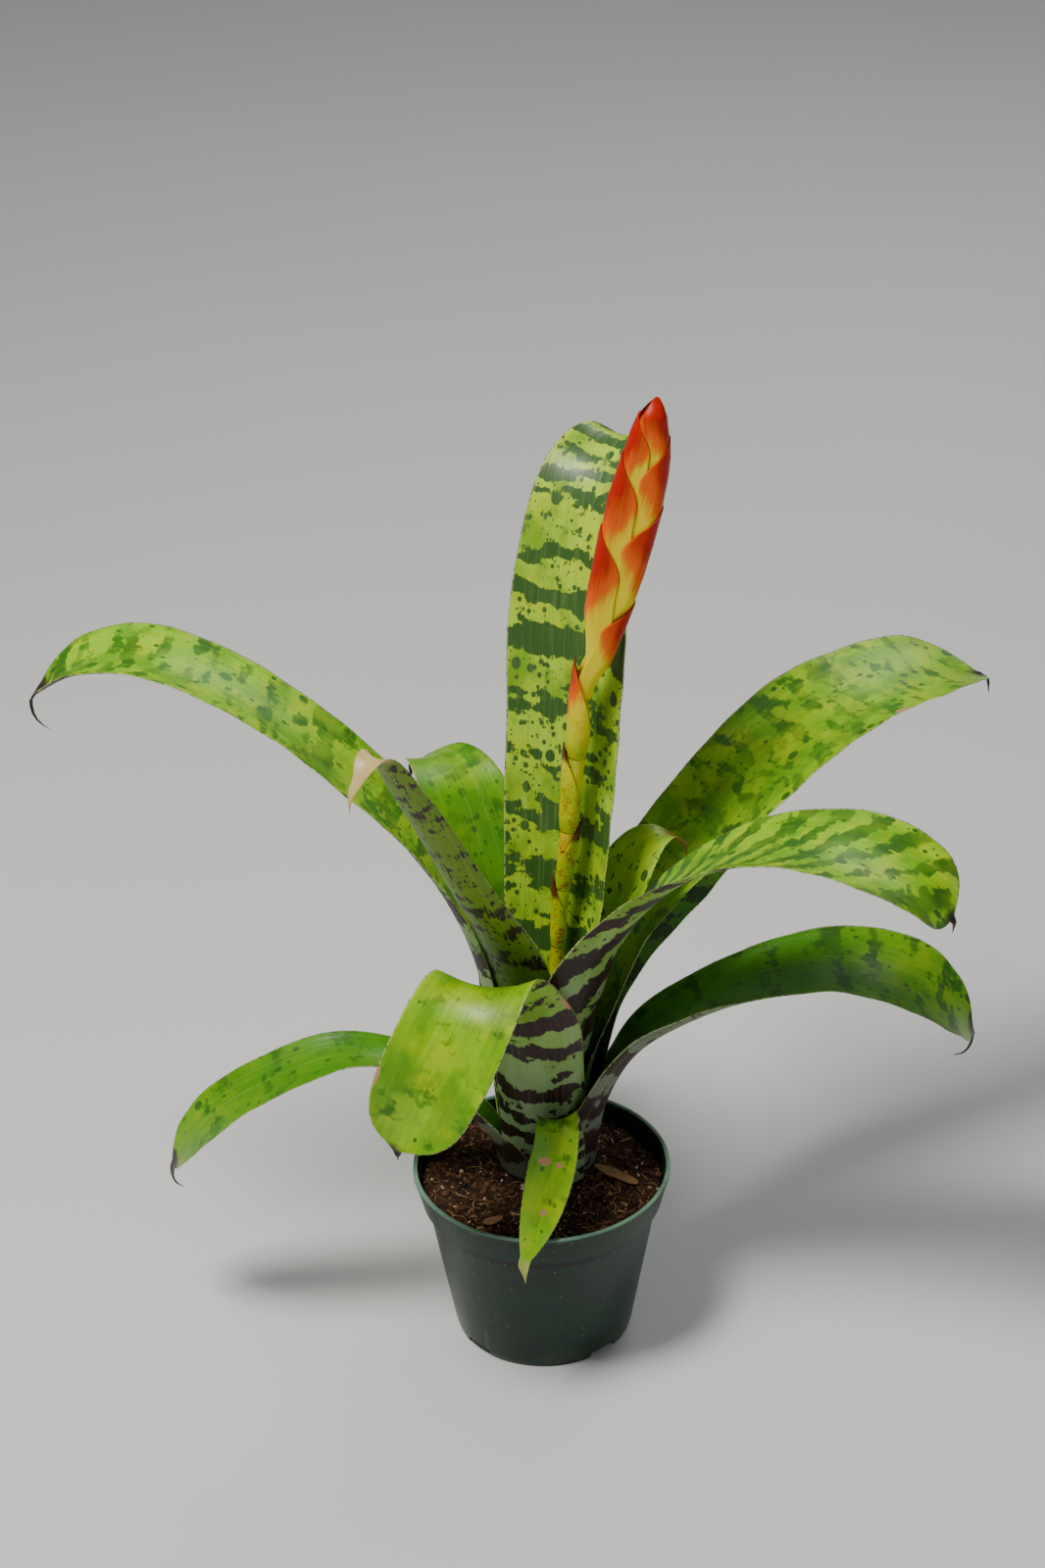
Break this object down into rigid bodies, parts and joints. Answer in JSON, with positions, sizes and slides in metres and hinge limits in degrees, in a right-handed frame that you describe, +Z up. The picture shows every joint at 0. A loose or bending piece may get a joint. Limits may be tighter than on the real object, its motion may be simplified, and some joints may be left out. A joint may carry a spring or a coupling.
{
  "type": "potted bromeliad",
  "caption": "Bromeliad with banded arching strap leaves and one flat orange and yellow flower spike, growing in a round dark green nursery pot.",
  "frame": {"origin": "centre of the pot's underside, on the surface it stands on", "axes": "+Z up the pot's axis; +Y to the back, the side that the tall upright leaf grows on; +X to the right, the side that the flower spike leans to"},
  "size_m": [0.4133, 0.2194, 0.4422],
  "materials": {
    "pot_plastic": "satin dark green",
    "potting_mix": "damp, granular",
    "crown": "fibrous",
    "leaf": "waxy sheen, banded",
    "flower_stalk": "smooth, fleshy",
    "stalk_bract": "smooth, dry brown tips",
    "spike_bract": "waxy gloss",
    "bark": "rough"
  },
  "bodies": {
    "root": {"pot": "pot_plastic", "potting_mix": "potting_mix", "crown": "crown", "leaf_back_tall": "leaf", "leaf_inner_young": "leaf", "leaf_inner_left": "leaf", "leaf_middle_right": "leaf", "leaf_upper_right": "leaf", "leaf_upper_left": "leaf", "leaf_back_left": "leaf", "leaf_front_left": "leaf", "leaf_back_right": "leaf", "leaf_low_right": "leaf", "leaf_low_left": "leaf", "leaf_low_back": "leaf", "leaf_front_small": "leaf", "flower_stalk": "flower_stalk", "stalk_bract_1": "stalk_bract", "stalk_bract_2": "stalk_bract", "stalk_bract_3": "stalk_bract", "stalk_bract_4": "stalk_bract", "spike_bract_1": "spike_bract", "spike_bract_2": "spike_bract", "spike_bract_3": "spike_bract", "spike_bract_4": "spike_bract", "spike_bract_5": "spike_bract", "spike_bract_6": "spike_bract", "spike_bract_7": "spike_bract", "bark_chip_long": "bark", "bark_chip_short": "bark"}
  },
  "joints": []
}
